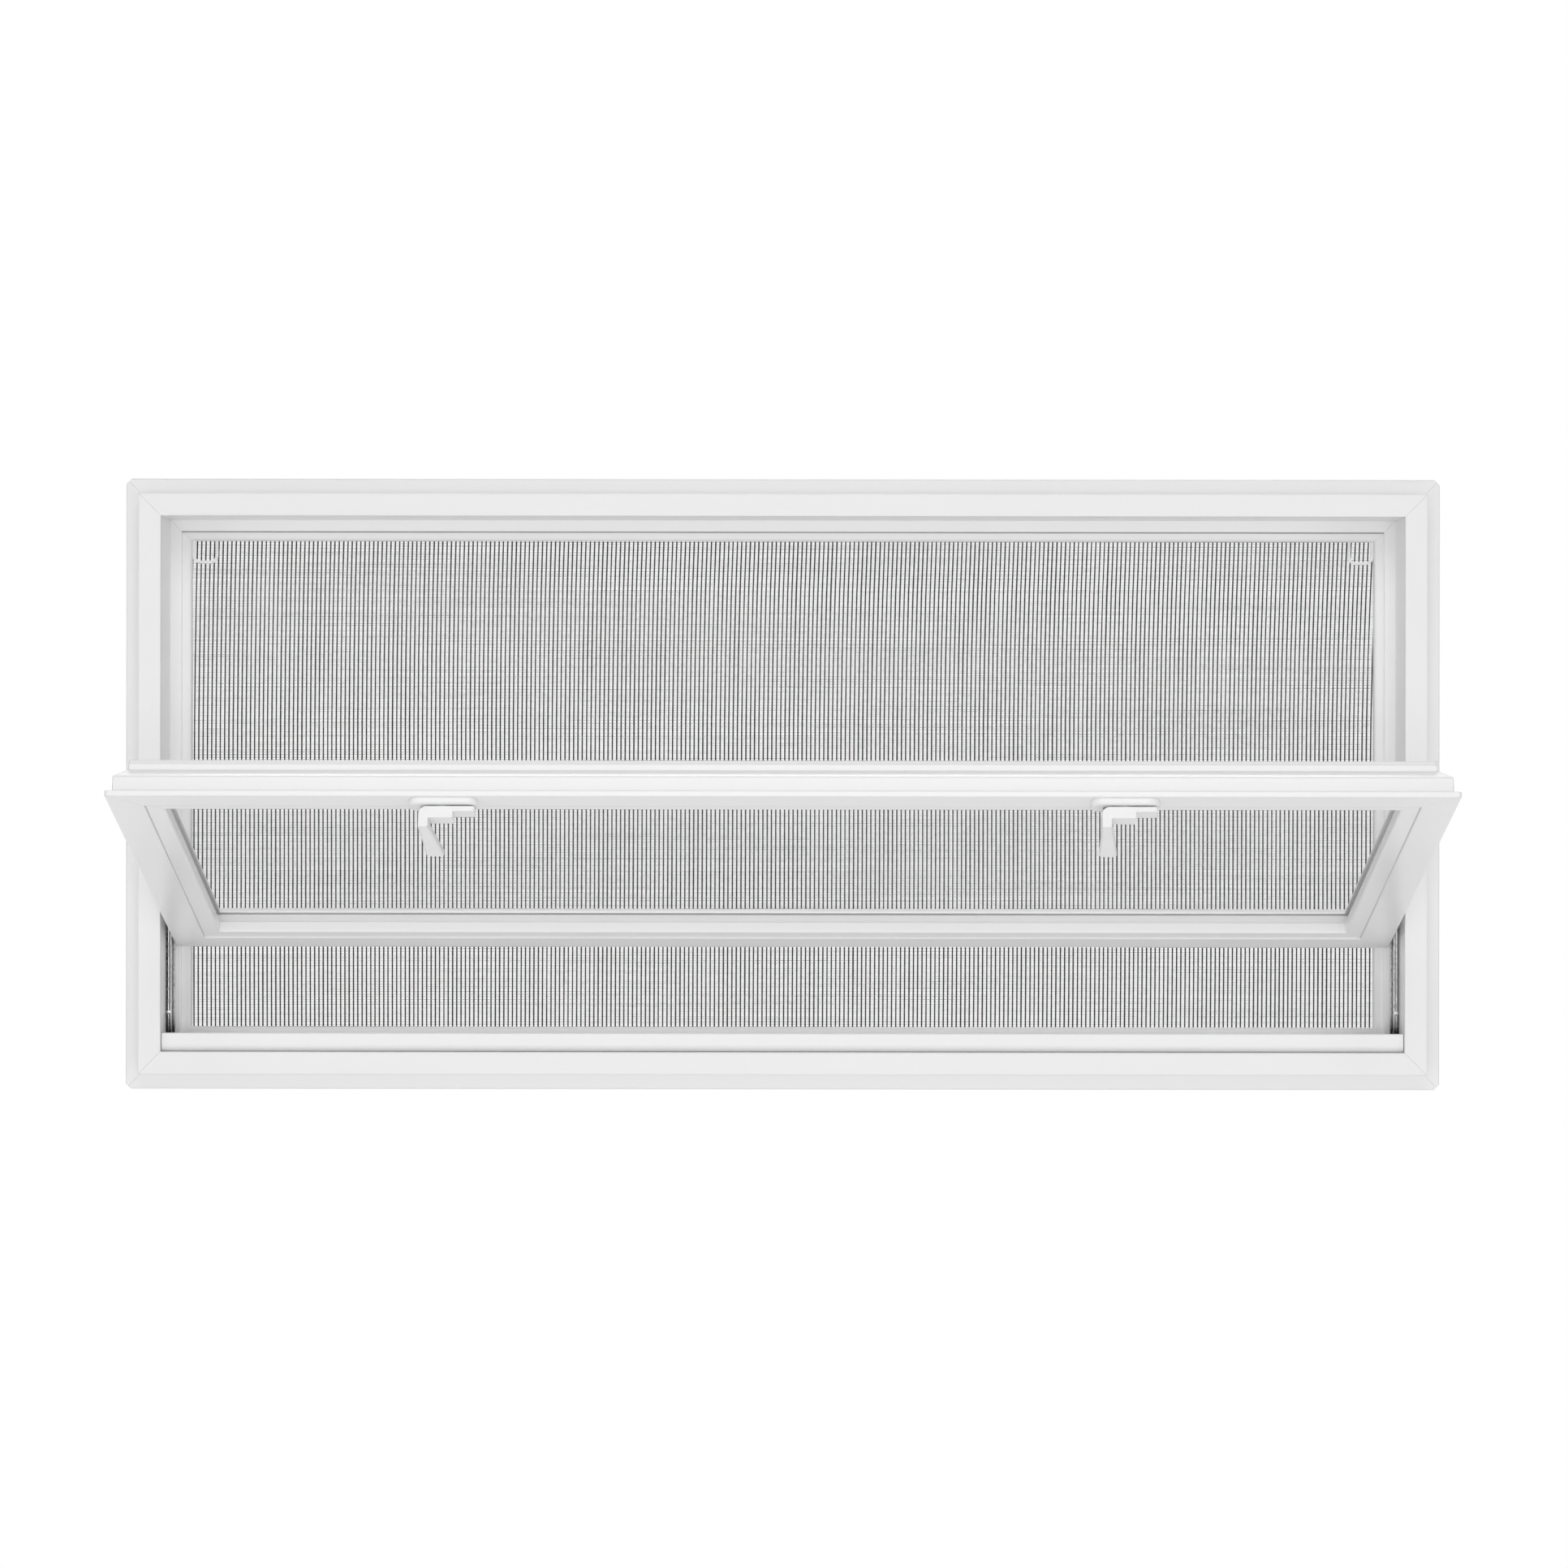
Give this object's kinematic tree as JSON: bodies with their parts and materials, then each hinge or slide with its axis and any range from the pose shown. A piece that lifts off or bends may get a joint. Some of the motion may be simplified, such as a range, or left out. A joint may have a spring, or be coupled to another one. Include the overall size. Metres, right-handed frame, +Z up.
{
  "type": "hopper window",
  "caption": "White vinyl hopper window: mitred frame with an insect screen and a glazed sash that tilts inward from the top on friction stays, with cam handles on its top rail.",
  "frame": {"origin": "middle of the flat face under the sill", "axes": "+X along the width, to the right seen from the room; +Z up; the room is on -Y and outdoors on +Y"},
  "size_m": [0.8064, 0.3417, 0.3747],
  "materials": {
    "white_vinyl": "satin white extruded vinyl",
    "white_aluminium": "white painted rolled aluminium",
    "soft_seal": "soft white bulb seal",
    "screen_cloth": "charcoal insect screen cloth",
    "clear_white_plastic": "milky clear moulded plastic",
    "stainless": "pressed stainless strip",
    "shoe_plastic": "dark moulded nylon",
    "clear_glass": "clear float glass",
    "spacer_metal": "mill aluminium spacer",
    "white_cam": "white painted die casting"
  },
  "bodies": {
    "frame": {"frame_head": "white_vinyl", "frame_sill": "white_vinyl", "left_jamb": "white_vinyl", "right_jamb": "white_vinyl", "sill_stop": "white_vinyl", "screen_top_bar": "white_aluminium", "screen_bottom_bar": "white_aluminium", "screen_left_bar": "white_aluminium", "screen_right_bar": "white_aluminium", "screen_mesh": "screen_cloth", "left_pull_tab": "clear_white_plastic", "right_pull_tab": "clear_white_plastic", "left_track": "stainless", "right_track": "stainless"},
    "stay_arms": {"left_stay_arm": "stainless", "right_stay_arm": "stainless"},
    "sash": {"sash_top_rail": "white_vinyl", "sash_bottom_rail": "white_vinyl", "sash_left_stile": "white_vinyl", "sash_right_stile": "white_vinyl", "top_glazing_bead": "white_vinyl", "bottom_glazing_bead": "white_vinyl", "left_glazing_bead": "white_vinyl", "right_glazing_bead": "white_vinyl", "top_sash_seal": "soft_seal", "bottom_sash_seal": "soft_seal", "left_sash_seal": "soft_seal", "right_sash_seal": "soft_seal", "inner_pane": "clear_glass", "outer_pane": "clear_glass", "glass_spacer": "spacer_metal", "left_sash_arm": "stainless", "right_sash_arm": "stainless", "left_handle_base": "white_cam", "right_handle_base": "white_cam"},
    "shoes": {"left_shoe": "shoe_plastic", "right_shoe": "shoe_plastic"},
    "left_handle": {"left_handle_lever": "white_cam"},
    "right_handle": {"right_handle_lever": "white_cam"}
  },
  "joints": [
    {"name": "stay_swing", "type": "hinge", "parent": "frame", "child": "stay_arms", "pos_m": [0, -0.015, 0.1377], "axis": [1, 0, 0], "range_deg": [0, 72.6]},
    {"name": "sash_tilt", "type": "hinge", "parent": "stay_arms", "child": "sash", "pos_m": [0, -0.06119, 0.12323], "axis": [1, 0, 0], "range_deg": [-145.2, 0]},
    {"name": "shoe_turn", "type": "hinge", "parent": "sash", "child": "shoes", "pos_m": [0, -0.015, 0.10875], "axis": [1, 0, 0], "range_deg": [0, 72.6]},
    {"name": "left_cam_turn", "type": "hinge", "parent": "sash", "child": "left_handle", "pos_m": [-0.1886, -0.30253, 0.1779], "axis": [0, -0.299, -0.9542], "range_deg": [0, 90]},
    {"name": "right_cam_turn", "type": "hinge", "parent": "sash", "child": "right_handle", "pos_m": [0.1886, -0.30253, 0.1779], "axis": [0, -0.299, -0.9542], "range_deg": [0, 90]}
  ],
  "couplings": [
    {"joint": "sash_tilt", "follows": "stay_swing", "ratio": -2},
    {"joint": "shoe_turn", "follows": "stay_swing", "ratio": 1}
  ]
}
